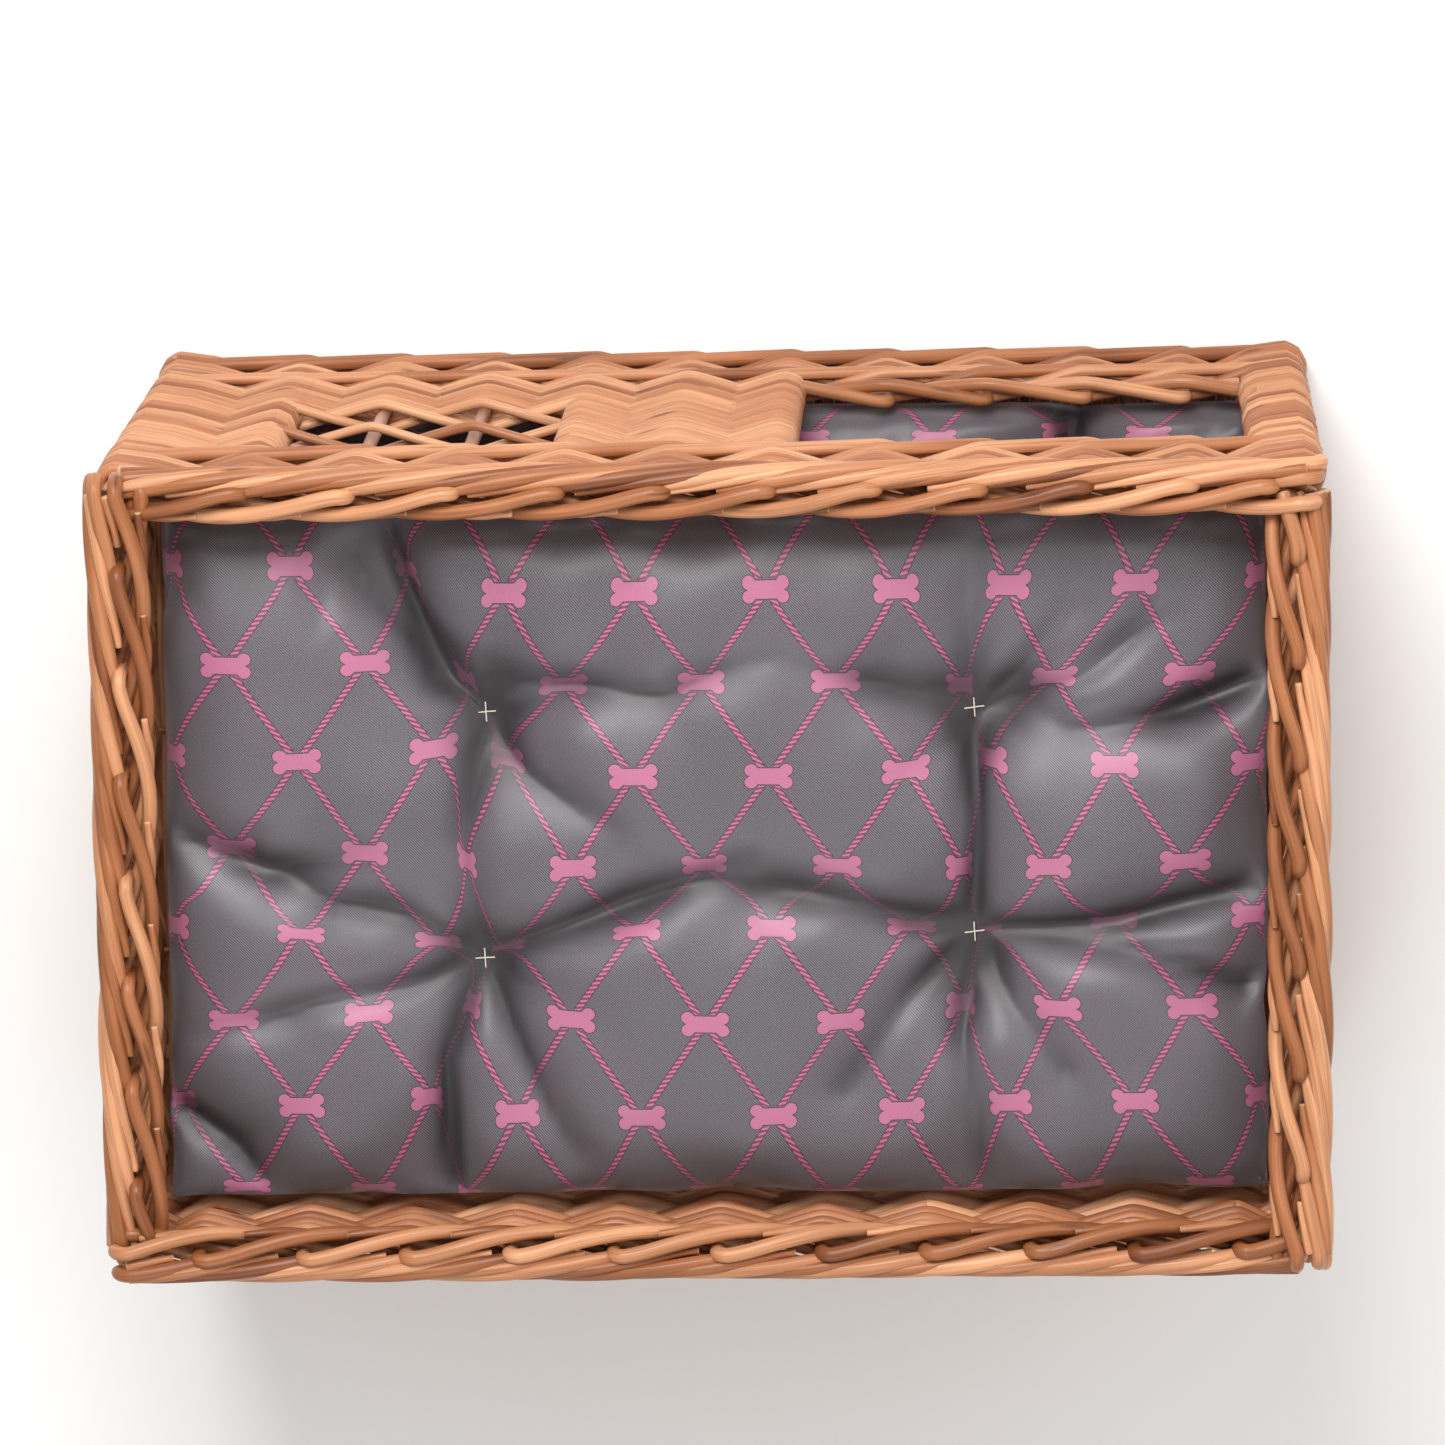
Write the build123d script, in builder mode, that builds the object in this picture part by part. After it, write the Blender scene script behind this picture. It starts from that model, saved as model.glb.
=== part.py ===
from build123d import *

import os

# Two-storey wicker pet basket: an open tray with a cushion above a cabin with a cushion.
# Origin: centre of the underside, on the floor. +Z up, -Y is the front, +X is the right-hand
# side seen from the front. Millimetres.

os.makedirs("parts", exist_ok=True)

# Overall size
WIDTH = 600
DEPTH = 404
HEIGHT = 400

# Rods
STAKE_D = 7
POST_D = 12
LATTICE_D = 4.5
BASE_STICK_D = 9
ROD_CLEARANCE = 0.4

# Walls
RIM_WIDTH = 26
RIM_HEIGHT = 22
WALL_THICKNESS = 18
WALE_THICKNESS = 20
FOOT_THICKNESS = 22
STAKE_PITCH = 51

# Heights of the bands of work, from the floor up
FOOT_TOP = 22
LOWER_WALE_BASE = 52
LOWER_WALE_TOP = 66
SILL_TOP = 86
WINDOW_BASE = 146
SHELF_STICK_BASE = 282
SHELF_BASE = 292
SHELF_TOP = 300
UPPER_WALE_BASE = 298
UPPER_WALE_TOP = 320
RIM_BASE = HEIGHT - RIM_HEIGHT
STAKE_BASE = 3

# Base
BASE_BOTTOM = 6
BASE_TOP = 20
BASE_GAP = 1
BASE_STICK_COUNT = 5
BASE_STICK_PITCH = 70

# Shelf
SHELF_GAP = 1
SHELF_STICK_COUNT = 3
SHELF_STICK_PITCH = 110

# Lattice rods in the window: heights of the two pairs
LATTICE_HEIGHTS = (150, 225)
LATTICE_OFFSET = 6.5

# Cushions
COVER_THICKNESS = 1.2
FILLING_GAP = 0.2
CUSHION_EDGE = 14
CUSHION_CORNER = 30
UPPER_CUSHION_SIZE = (544, 348)
UPPER_CUSHION_THICKNESS = 62
LOWER_CUSHION_SIZE = (546, 350)
LOWER_CUSHION_THICKNESS = 62
CUSHION_LIFT_OFF = 1
TIE_D = 1.6
TIE_PITCH = (240, 120)

# Centre line of the walls, where the stakes stand
LINE_X = WIDTH / 2 - RIM_WIDTH / 2
LINE_Y = DEPTH / 2 - RIM_WIDTH / 2
WALL_OUT_X = LINE_X + WALL_THICKNESS / 2
WALL_OUT_Y = LINE_Y + WALL_THICKNESS / 2
WALL_IN_X = LINE_X - WALL_THICKNESS / 2
WALL_IN_Y = LINE_Y - WALL_THICKNESS / 2

# Stakes along each wall, front ones counted from the right-hand corner
FRONT_STAKES = [275 - STAKE_PITCH * i for i in range(11)]
ENTRANCE_POST_STAKE = -273
FULL_FRONT_STAKES = [FRONT_STAKES[i] for i in (0, 1, 4, 5, 6)] + [ENTRANCE_POST_STAKE]
WINDOW_STAKES = FRONT_STAKES[2:4]
ENTRANCE_STAKES = FRONT_STAKES[7:]
BACK_STAKES = [STAKE_PITCH * (i - 5) for i in range(11)]
SIDE_STAKES = [STAKE_PITCH * (i - 3) for i in range(7)]

# Openings in the front wall, along X: how far each panel's weave reaches past its end stake
CORNER_PANEL_REACH = 8
MIDDLE_PANEL_REACH = (12, 10)
ENTRANCE_POST_REACH = 9
WINDOW_X = (FRONT_STAKES[4] + MIDDLE_PANEL_REACH[0], FRONT_STAKES[1] - CORNER_PANEL_REACH)
ENTRANCE_X = (ENTRANCE_POST_STAKE + ENTRANCE_POST_REACH, FRONT_STAKES[6] - MIDDLE_PANEL_REACH[1])

WALL_CORNERS = [(sx * LINE_X, sy * LINE_Y) for sx in (-1, 1) for sy in (-1, 1)]
FRONT_POINTS = [(x, -LINE_Y) for x in FRONT_STAKES + [ENTRANCE_POST_STAKE]]
BACK_POINTS = [(x, LINE_Y) for x in BACK_STAKES]
LEFT_POINTS = [(-LINE_X, y) for y in SIDE_STAKES]
RIGHT_POINTS = [(LINE_X, y) for y in SIDE_STAKES]


def finish(part, name):
    """Labels a finished piece and writes it to its own STEP file."""
    part.label = name
    export_step(part, f"parts/{name}.step")


def rods(points, low, high, diameter):
    """A group of separate upright rods."""
    with BuildPart() as group:
        with BuildSketch(Plane.XY.offset(low)):
            with Locations(*points):
                Circle(diameter / 2)
        extrude(amount=high - low)
    return group.part


def level_rods(plane, points, length, diameter):
    """A group of separate level rods, centred on the plane they cross."""
    with BuildPart() as group:
        with BuildSketch(plane):
            with Locations(*points):
                Circle(diameter / 2)
        extrude(amount=length / 2, both=True)
    return group.part


def band(x_range, y_range, low, high):
    """A woven band of wall as a closed block, with a round way through for each upright in it."""
    uprights = [(*p, POST_D) for p in WALL_CORNERS]
    uprights += [(*p, STAKE_D) for p in FRONT_POINTS + BACK_POINTS + LEFT_POINTS + RIGHT_POINTS]
    with BuildPart() as woven:
        with BuildSketch(Plane.XY.offset(low)):
            with Locations(((x_range[0] + x_range[1]) / 2, (y_range[0] + y_range[1]) / 2)):
                Rectangle(x_range[1] - x_range[0], y_range[1] - y_range[0])
            for x, y, diameter in uprights:
                inside_x = x_range[0] < x < x_range[1]
                inside_y = y_range[0] < y < y_range[1]
                if inside_x and inside_y:
                    with Locations((x, y)):
                        Circle(diameter / 2 + ROD_CLEARANCE / 2, mode=Mode.SUBTRACT)
        extrude(amount=high - low)
    return woven.part


def ring(thickness, low, high, ways):
    """A woven ring around the whole basket, with ways through for the uprights in it."""
    with BuildPart() as woven:
        with BuildSketch(Plane.XY.offset(low)):
            RectangleRounded(2 * LINE_X + thickness, 2 * LINE_Y + thickness, thickness / 2)
            Rectangle(2 * LINE_X - thickness, 2 * LINE_Y - thickness, mode=Mode.SUBTRACT)
            with Locations(*WALL_CORNERS):
                Circle((POST_D + ROD_CLEARANCE) / 2, mode=Mode.SUBTRACT)
            with Locations(*ways):
                Circle((STAKE_D + ROD_CLEARANCE) / 2, mode=Mode.SUBTRACT)
        extrude(amount=high - low)
    return woven.part


def border(x_range, y_range, low, high):
    """A border of bent-over stakes as a bar with rounded long edges on top."""
    size_x = x_range[1] - x_range[0]
    size_y = y_range[1] - y_range[0]
    along = Axis.X if size_x > size_y else Axis.Y
    with BuildPart() as bar:
        with BuildSketch(Plane.XY.offset(low)):
            with Locations(((x_range[0] + x_range[1]) / 2, (y_range[0] + y_range[1]) / 2)):
                Rectangle(size_x, size_y)
        extrude(amount=high - low)
        top = bar.faces().sort_by(Axis.Z)[-1]
        fillet(top.edges().filter_by(along), radius=(high - low) / 3)
    return bar.part


def cushion_body(size, thickness, base):
    """The closed outer form of a cushion, with softened upright corners and edges."""
    with BuildPart() as pad:
        with BuildSketch(Plane.XY.offset(base)):
            RectangleRounded(size[0], size[1], CUSHION_CORNER)
        extrude(amount=thickness)
        ends = pad.faces().sort_by(Axis.Z)
        fillet(ends[0].edges() + ends[-1].edges(), radius=CUSHION_EDGE)
    return pad.part


def cushion(name, size, thickness, base):
    """Writes a cushion's printed cover, its filling and the four thread ties through both."""
    inset = COVER_THICKNESS
    filling_inset = COVER_THICKNESS + FILLING_GAP
    outer = cushion_body(size, thickness, base)
    inner_size = (size[0] - 2 * inset, size[1] - 2 * inset)
    inner = cushion_body(inner_size, thickness - 2 * inset, base + inset)
    filling_size = (size[0] - 2 * filling_inset, size[1] - 2 * filling_inset)
    with BuildPart() as cover:
        add(outer)
        add(inner, mode=Mode.SUBTRACT)
    finish(cover.part, f"{name}_cover")
    filling = cushion_body(filling_size, thickness - 2 * filling_inset, base + filling_inset)
    finish(filling, f"{name}_filling")
    with BuildPart() as ties:
        with BuildSketch(Plane.XY.offset(base + inset / 2)):
            with GridLocations(TIE_PITCH[0], TIE_PITCH[1], 2, 2):
                Circle(TIE_D / 2)
        extrude(amount=thickness - inset)
    finish(ties.part, f"{name}_ties")


# Uprights
finish(rods(WALL_CORNERS, STAKE_BASE, RIM_BASE, POST_D), "corner_posts")
finish(rods([(x, -LINE_Y) for x in FULL_FRONT_STAKES], STAKE_BASE, RIM_BASE, STAKE_D), "front_stakes")
finish(rods([(x, -LINE_Y) for x in WINDOW_STAKES], STAKE_BASE, RIM_BASE, STAKE_D), "window_stakes")
finish(rods([(x, -LINE_Y) for x in ENTRANCE_STAKES], STAKE_BASE, LOWER_WALE_TOP, STAKE_D), "sill_stakes")
finish(rods([(x, -LINE_Y) for x in ENTRANCE_STAKES], UPPER_WALE_BASE, RIM_BASE, STAKE_D), "lintel_stakes")
finish(rods(BACK_POINTS, STAKE_BASE, RIM_BASE, STAKE_D), "back_stakes")
finish(rods(LEFT_POINTS, STAKE_BASE, RIM_BASE, STAKE_D), "left_stakes")
finish(rods(RIGHT_POINTS, STAKE_BASE, RIM_BASE, STAKE_D), "right_stakes")

# Rings that run round all four sides
ALL_POINTS = FRONT_POINTS + BACK_POINTS + LEFT_POINTS + RIGHT_POINTS
finish(ring(FOOT_THICKNESS, 0, FOOT_TOP, ALL_POINTS), "foot_wale")
finish(ring(WALL_THICKNESS, FOOT_TOP, LOWER_WALE_BASE, ALL_POINTS), "foot_weave")
finish(ring(WALE_THICKNESS, LOWER_WALE_BASE, LOWER_WALE_TOP, ALL_POINTS), "lower_wale")
finish(ring(WALE_THICKNESS, UPPER_WALE_BASE, UPPER_WALE_TOP, ALL_POINTS), "upper_wale")

# Base and shelf, each a woven sheet round level sticks
FLOOR_X = LINE_X - FOOT_THICKNESS / 2 - BASE_GAP
FLOOR_Y = LINE_Y - FOOT_THICKNESS / 2 - BASE_GAP
BASE_STICK_Z = (BASE_BOTTOM + BASE_TOP) / 2
base_stick_places = [(BASE_STICK_PITCH * (i - (BASE_STICK_COUNT - 1) / 2), BASE_STICK_Z)
                     for i in range(BASE_STICK_COUNT)]
base_sticks = level_rods(Plane.YZ, base_stick_places, 2 * FLOOR_X, BASE_STICK_D)
finish(base_sticks, "base_sticks")
with BuildPart() as base_weave:
    with BuildSketch(Plane.XY.offset(BASE_BOTTOM)):
        Rectangle(2 * FLOOR_X, 2 * FLOOR_Y)
    extrude(amount=BASE_TOP - BASE_BOTTOM)
    with BuildSketch(Plane.YZ):
        with Locations(*base_stick_places):
            Circle((BASE_STICK_D + ROD_CLEARANCE) / 2)
    extrude(amount=FLOOR_X, both=True, mode=Mode.SUBTRACT)
finish(base_weave.part, "base_weave")

SHELF_X = WALL_IN_X - SHELF_GAP
SHELF_Y = WALL_IN_Y - SHELF_GAP
shelf_stick_d = SHELF_BASE - SHELF_STICK_BASE
shelf_stick_places = [(SHELF_STICK_PITCH * (i - (SHELF_STICK_COUNT - 1) / 2),
                       SHELF_STICK_BASE + shelf_stick_d / 2) for i in range(SHELF_STICK_COUNT)]
finish(level_rods(Plane.YZ, shelf_stick_places, 2 * WALL_IN_X, shelf_stick_d), "shelf_sticks")
with BuildPart() as shelf_weave:
    with BuildSketch(Plane.XY.offset(SHELF_BASE)):
        Rectangle(2 * SHELF_X, 2 * SHELF_Y)
    extrude(amount=SHELF_TOP - SHELF_BASE)
finish(shelf_weave.part, "shelf_weave")

# Cabin walls
FRONT_Y = (-WALL_OUT_Y, -WALL_IN_Y)
BACK_Y = (WALL_IN_Y, WALL_OUT_Y)
LEFT_X = (-WALL_OUT_X, -WALL_IN_X)
RIGHT_X = (WALL_IN_X, WALL_OUT_X)
FULL_X = (-WALL_OUT_X, WALL_OUT_X)
BETWEEN_Y = (-WALL_IN_Y, WALL_IN_Y)
finish(band((WINDOW_X[1], WALL_OUT_X), FRONT_Y, LOWER_WALE_TOP, UPPER_WALE_BASE), "front_corner_panel")
finish(band((WINDOW_X[0], WINDOW_X[1]), FRONT_Y, LOWER_WALE_TOP, WINDOW_BASE), "window_sill_panel")
finish(band((ENTRANCE_X[1], WINDOW_X[0]), FRONT_Y, LOWER_WALE_TOP, UPPER_WALE_BASE), "front_middle_panel")
finish(band((-WALL_OUT_X, ENTRANCE_X[0]), FRONT_Y, LOWER_WALE_TOP, UPPER_WALE_BASE), "entrance_post_weave")
finish(band(FULL_X, BACK_Y, LOWER_WALE_TOP, UPPER_WALE_BASE), "back_cabin_weave")
finish(band(LEFT_X, BETWEEN_Y, LOWER_WALE_TOP, UPPER_WALE_BASE), "left_cabin_weave")
finish(band(RIGHT_X, BETWEEN_Y, LOWER_WALE_TOP, UPPER_WALE_BASE), "right_cabin_weave")
finish(border(ENTRANCE_X, FRONT_Y, LOWER_WALE_TOP, SILL_TOP), "threshold_border")

# Window lattice: at each height one rod in front of the stakes and one behind them
lattice_mid = (WINDOW_X[0] + WINDOW_X[1]) / 2
lattice_places = [(-LINE_Y + side * LATTICE_OFFSET, z) for z in LATTICE_HEIGHTS for side in (-1, 1)]
lattice = level_rods(Plane.YZ.offset(lattice_mid), lattice_places, WINDOW_X[1] - WINDOW_X[0], LATTICE_D)
finish(lattice, "window_lattice")

# Tray walls
finish(band(FULL_X, FRONT_Y, UPPER_WALE_TOP, RIM_BASE), "tray_front_weave")
finish(band(FULL_X, BACK_Y, UPPER_WALE_TOP, RIM_BASE), "tray_back_weave")
finish(band(LEFT_X, BETWEEN_Y, UPPER_WALE_TOP, RIM_BASE), "tray_left_weave")
finish(band(RIGHT_X, BETWEEN_Y, UPPER_WALE_TOP, RIM_BASE), "tray_right_weave")

# Rim borders, the front and back runs across the full width
RIM_IN_X = WIDTH / 2 - RIM_WIDTH
RIM_IN_Y = DEPTH / 2 - RIM_WIDTH
RIM_X = (-WIDTH / 2, WIDTH / 2)
finish(border(RIM_X, (-DEPTH / 2, -RIM_IN_Y), RIM_BASE, HEIGHT), "rim_front")
finish(border(RIM_X, (RIM_IN_Y, DEPTH / 2), RIM_BASE, HEIGHT), "rim_back")
finish(border((-WIDTH / 2, -RIM_IN_X), (-RIM_IN_Y, RIM_IN_Y), RIM_BASE, HEIGHT), "rim_left")
finish(border((RIM_IN_X, WIDTH / 2), (-RIM_IN_Y, RIM_IN_Y), RIM_BASE, HEIGHT), "rim_right")

# Cushions
cushion("upper_cushion", UPPER_CUSHION_SIZE, UPPER_CUSHION_THICKNESS, SHELF_TOP + CUSHION_LIFT_OFF)
cushion("lower_cushion", LOWER_CUSHION_SIZE, LOWER_CUSHION_THICKNESS, BASE_TOP + CUSHION_LIFT_OFF)
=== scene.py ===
import collections
import math

import bpy
import numpy as np
from mathutils import Euler, Matrix, Vector


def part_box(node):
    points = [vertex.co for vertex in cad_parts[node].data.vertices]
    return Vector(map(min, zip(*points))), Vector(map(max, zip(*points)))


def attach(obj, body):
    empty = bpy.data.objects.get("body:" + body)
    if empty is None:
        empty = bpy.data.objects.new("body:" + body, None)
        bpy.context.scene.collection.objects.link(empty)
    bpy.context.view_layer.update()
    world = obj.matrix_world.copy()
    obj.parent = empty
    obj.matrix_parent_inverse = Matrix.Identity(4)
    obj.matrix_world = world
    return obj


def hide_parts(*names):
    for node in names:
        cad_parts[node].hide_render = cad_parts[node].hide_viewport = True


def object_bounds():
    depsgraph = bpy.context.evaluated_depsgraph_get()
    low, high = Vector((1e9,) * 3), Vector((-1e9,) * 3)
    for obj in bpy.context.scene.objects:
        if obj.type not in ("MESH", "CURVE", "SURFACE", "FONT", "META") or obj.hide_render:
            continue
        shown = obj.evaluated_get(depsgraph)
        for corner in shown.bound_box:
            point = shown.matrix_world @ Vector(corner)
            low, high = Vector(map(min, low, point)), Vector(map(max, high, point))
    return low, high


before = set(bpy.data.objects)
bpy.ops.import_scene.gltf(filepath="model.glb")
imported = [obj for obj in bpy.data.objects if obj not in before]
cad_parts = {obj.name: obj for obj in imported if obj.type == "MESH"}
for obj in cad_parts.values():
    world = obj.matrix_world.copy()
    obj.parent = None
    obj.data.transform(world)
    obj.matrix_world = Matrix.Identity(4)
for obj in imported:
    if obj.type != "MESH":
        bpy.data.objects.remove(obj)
cad_low, cad_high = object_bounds()

# --- Driving values, in metres unless said otherwise ---

SEED = 11

# Rods
WEAVER_R = 0.0034
WEAVER_PITCH = 0.00645
WEAVER_LENGTH = 1.7
BORDER_R = 0.0037
THRESHOLD_R = 0.0036
LATTICE_R = 0.0025
LATTICE_GAP = 0.0008
SAMPLE_STEP = 0.0046
STAKE_SHARE = 0.97       # of the CAD radius, so that a stake's swell stays within it
STICK_SHARE = 0.94
BENT_FROM = 0.004        # how far under a border the bent rods of its stakes begin

# Three-rod wales: the radius of each, then a rod's side, height and height half way to the
# next upright at its three steps. WALE_DEPTH of those heights make up the wale's own.
WALES = {"foot_wale": 0.0040, "lower_wale": 0.0032, "upper_wale": 0.0036}
WALE_STEPS = ((1, 1.15, 0.0), (1, -1.15, -0.75), (-1, 0.0, 0.75))
WALE_DEPTH = 3.1

# Rim border: a rod's place round the border's section against how far it has run, counted
# in stake spacings. 0 degrees is the top and 90 is the side it leans towards.
BORDER_RUN = (0.0, 1.35, 3.05, 5.28)
BORDER_TURN = (-16.0, 98.0, 248.0, 362.0)
BORDER_FROM = 0.11
BORDER_ACROSS = 0.0104
SIDE_ACROSS = 0.0122
BORDER_UP = 0.0070
BORDER_LEAD_IN = 6
BORDER_ELBOW = 0.0052
BORDER_STACK = (0.0012, -0.0052, 1.1)       # rise, then sink over the last spacings
BORDER_TIP = (0.36, 0.55)                   # thickness lost over the last spacings
BETWEEN_PLACE = 0.5
BETWEEN_FROM = 0.95
BETWEEN_SIZE = 0.80
BETWEEN_TAPER = 0.4
CORNER_LIFT = 0.0032
CORNER_REACH = 0.045
CORNER_UNDER = 0.016
CORNER_BEND = 0.007

# Threshold border: side (inwards) and drop of a rod against its run in stake spacings
THRESHOLD_RUN = (0.0, 0.98, 1.5, 2.12)
THRESHOLD_SIDE = (0.0058, -0.0044, -0.0010, 0.0062)
THRESHOLD_DROP = (0.0010, 0.0, 0.0058, 0.0086)
THRESHOLD_BEND = (0.0028, 0.0034)
THRESHOLD_FOOT = (0.001, 0.7, 0.0075)       # back along the border, share of the side, down

# Mats: the mat, its sticks, stick and weaver radius, weaver spacing, stick count and inset
MATS = (("base_weave", "base_sticks", 0.0030, 0.0025, 0.0054, 5, 0.0),
        ("shelf_weave", "shelf_weave", 0.0012, 0.0019, 0.0041, 7, 0.012))
MAT_INSET = 0.001

# Cushion print
PRINT_PERIOD = 0.0662
PRINT_ROW = 0.0505
PRINT_PHASE = (-0.0285, -0.0425)
ROPE_WIDTH = 0.0036
ROPE_STRIPE = 0.00228
OUTLINE = 0.0004
BONE_LENGTH = 0.0180
BONE_BAR = 0.0086
BONE_KNOB = (0.0086, 0.0033, 0.0032)
BONE_GAP = 0.0009
TWILL_PITCH = 0.00095

# Cushions
TIE_R = 0.0008
STITCH_ARM = 0.0048
STITCH_R = 0.00038
FILLING_SHARE = 0.86
FILLING_CELLS = 2
WALL_CLEAR = 0.0108
TUFT_DEPTH = 0.022
TUFT_REACH = 0.020
PLEAT = 0.0030
PLEAT_REACH = 0.034
MOST_DROP = 0.50
FOLD_SCALE = 1.55
VALLEY = (0.45, 3.2)
GATHER = (0.30, 0.012, 0.055)
TUCK_WIDTH = 0.014
SEAM_HEIGHT = 0.42
BOTTOM_ROUND = 0.030
FLAT_EXTRA = (0.030, 0.028)
CROWN_OVER = 0.003
CLOTH_GRID = 0.0056
SIM_SCALE = 10.0
SIM_FRAMES = 30
HOLDS = ((1, 0.03), (-1, 0.15), (0, 0.12))  # a sheet's mark and how firmly it is held
FOLD_HOLD = 0.6
CLOTH = {"quality": 5, "mass": 0.3, "tension_stiffness": 40, "compression_stiffness": 40,
         "shear_stiffness": 8, "bending_stiffness": 0.05, "tension_damping": 5,
         "compression_damping": 5, "shear_damping": 5, "air_damping": 1.0,
         "vertex_group_mass": "hold", "pin_stiffness": 1.0, "use_pressure": True,
         "uniform_pressure_force": 0.5}

# Folds and tucks, in mm from the cushion's middle, with names for the upper cushion's tufts.
# A fold is its depth, its width and its line from where it is deepest. A tuck is a line of
# x, y and the move of the print beyond it.
FR, FL, BR, BL = (112, -70), (-128, -70), (115, 54), (-127, 42)
UPPER_FOLDS = (
    (30, 7, FR, (133, -89), (151, -144), (160, -172)),
    (12, 10, FR, (138, -94), (164, -124), (181, -150)),
    (14, 12, FR, (126, -10), BR),
    (14, 8, FL, (-130, -15), BL),
    (16, 12, BR, (80, 40), (32, 22), (-15, 0)),
    (12, 10, BR, (160, 28), (190, 23), (235, 0)),
    (18, 9, (131, 170), (137, 110), BR),
    (12, 10, FL, (-185, -91), (-220, -121)),
    (10, 12, FL, (-126, -120), (-130, -160)),
    (18, 9, (-262, 20), (-203, 36), BL),
    (14, 10, BL, (-120, 100), (-131, 165)),
    (16, 9, (-265, -82), (-225, -68), (-185, -62)),
    (14, 10, BL, (-60, 22), (0, 14)),
    (10, 8, FR, (85, -38), (50, -18)),
    (10, 10, (105, -100), (70, -92), (24, -84), (0, -96)),
    (10, 10, FL, (-100, -82), (-45, -98)),
    (9, 8, FL, (-155, -96), (-180, -128)),
    (11, 7, (-262, 70), (-215, 56), (-170, 47)),
    (10, 9, BL, (-90, 75), (-60, 120)),
    (10, 8, BL, (-150, 85), (-172, 110)),
    (14, 8, BR, (95, 100), (72, 150)),
    (10, 8, BR, (150, 66), (200, 74), (262, 92)),
    (16, 8, (268, 128), (240, 148), (222, 172)),
    (9, 9, (262, -10), (225, 6), (180, -2)),
)
UPPER_TUCKS = (
    ((160, -172, 16, 10), (*FR, 16, 9), (126, -10, 16, 9), (*BR, 16, 4), (137, 110, 16, 8),
     (131, 170, 20, 10)),
    ((-130, -172, -2, 0), (*FL, -14, 0), (*BL, -14, 0), (-131, 165, -4, 4)),
    ((262, 20, 0, 10), (*BR, 0, 10), (50, 36, 0, 12.5), (0, 14, 0, 12.5), (-60, 22, 0, 12.5),
     (*BL, 0, 12.5), (-262, 20, 0, 16)),
)
LOWER_FOLDS = (
    (40, 8, (-180, -180), (-176, -130), (-130, -66)),
    (14, 10, (-120, -60), (-60, -110), (-20, -160)),
    (12, 10, (-120, -60), (-122, 60)),
    (14, 10, (120, -60), (140, -120), (135, -168)),
    (12, 10, (120, -60), (118, 60)),
    (12, 10, (-120, 60), (-210, 40), (-260, 50)),
    (12, 10, (120, 60), (200, 90), (250, 80)),
)
LOWER_TUCKS = (
    ((-180, -178, -20, 0), (-176, -120, -20, 0), (-130, -60, -14, 0), (-125, 170, -10, 0)),
)

# Colours, sRGB: dark, middle and pale of each willow, then the fabric's
STAKE_COLOURS = ((126, 72, 42), (180, 119, 79), (214, 158, 116))
WEAVER_COLOURS = ((122, 67, 37), (180, 116, 77), (214, 156, 115))
WALE_COLOURS = ((110, 58, 30), (174, 111, 72), (216, 158, 117))
BORDER_COLOURS = ((94, 43, 18), (164, 102, 62), (214, 154, 112))
LATTICE_COLOURS = ((126, 72, 42), (184, 122, 82), (220, 164, 122))
# Window stakes: a greyer, darker willow, painted shade for the shade they stand in
SHADED_WINDOW_STAKE_COLOURS = ((112, 72, 52), (160, 112, 88), (200, 154, 128))
KNOT_COLOUR = (74, 38, 22)
PITH_COLOUR = (222, 186, 146)
GROUND_DARK = (62, 59, 63)
GROUND_PALE = (124, 118, 122)
ROPE_DARK = (124, 58, 86)
ROPE_PALE = (180, 110, 138)
BONE_COLOUR = (178, 108, 138)
OUTLINE_COLOUR = (66, 44, 54)
# Painted shade laid into the cover's folds
FOLD_PAINTED_SHADE = (26, 23, 25)
FABRIC_ROUGHNESS = 0.34

# Painted shade in the folds: rounds of blurring, depth of full shade and the most shade
FOLD_BLUR = 60
FOLD_FULL = 0.0065
FOLD_SHADE = 0.82

# Lights (name, place, size, power), sky, floor and camera
LIGHTS = (("key", (0.25, -1.6, 2.3), 1.1, 66),
          ("fill", (-2.0, -0.7, 2.4), 2.0, 24),
          ("back", (0.3, 2.4, 2.4), 2.2, 26))
SKY = 0.52
FLOOR_HALF = 15.0
FLOOR_UNDER = 0.0008
CAMERA_LENS = 220.9
CAMERA_TURN = (10.82, 2.107, -0.503)
CAMERA_OFFSET = (0.0081, 0.0003, 4.6926)

rng = np.random.RandomState(SEED)


# --- Small helpers ---

def height_range(node):
    return [corner.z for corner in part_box(node)]


def rod_centres(node, axis):
    """Centres of a CAD node's separate upright rods, in order along axis (0 for X, 1 for Y)."""
    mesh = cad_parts[node].data
    points = np.zeros(len(mesh.vertices) * 3)
    mesh.vertices.foreach_get("co", points)
    points = points.reshape(-1, 3)
    points = points[np.argsort(points[:, axis])]
    gaps = np.nonzero(np.diff(points[:, axis]) > 0.004)[0]
    return [tuple((g[:, :2].min(0) + g[:, :2].max(0)) / 2) for g in np.split(points, gaps + 1)]


def path_lengths(path):
    """How far along a path each of its points lies."""
    return np.concatenate([[0], np.cumsum(np.linalg.norm(np.diff(path, axis=0), axis=1))])


def smoothed(values, reach):
    """Values averaged over reach places each way."""
    count = 2 * reach + 1
    return np.convolve(np.pad(values, reach, mode="edge"), np.ones(count) / count, mode="valid")


def smooth_step(value):
    value = np.clip(value, 0, 1)
    return value * value * (3 - 2 * value)


def new_object(name, data):
    item = bpy.data.objects.new(name, data)
    bpy.context.scene.collection.objects.link(item)
    return item


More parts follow.
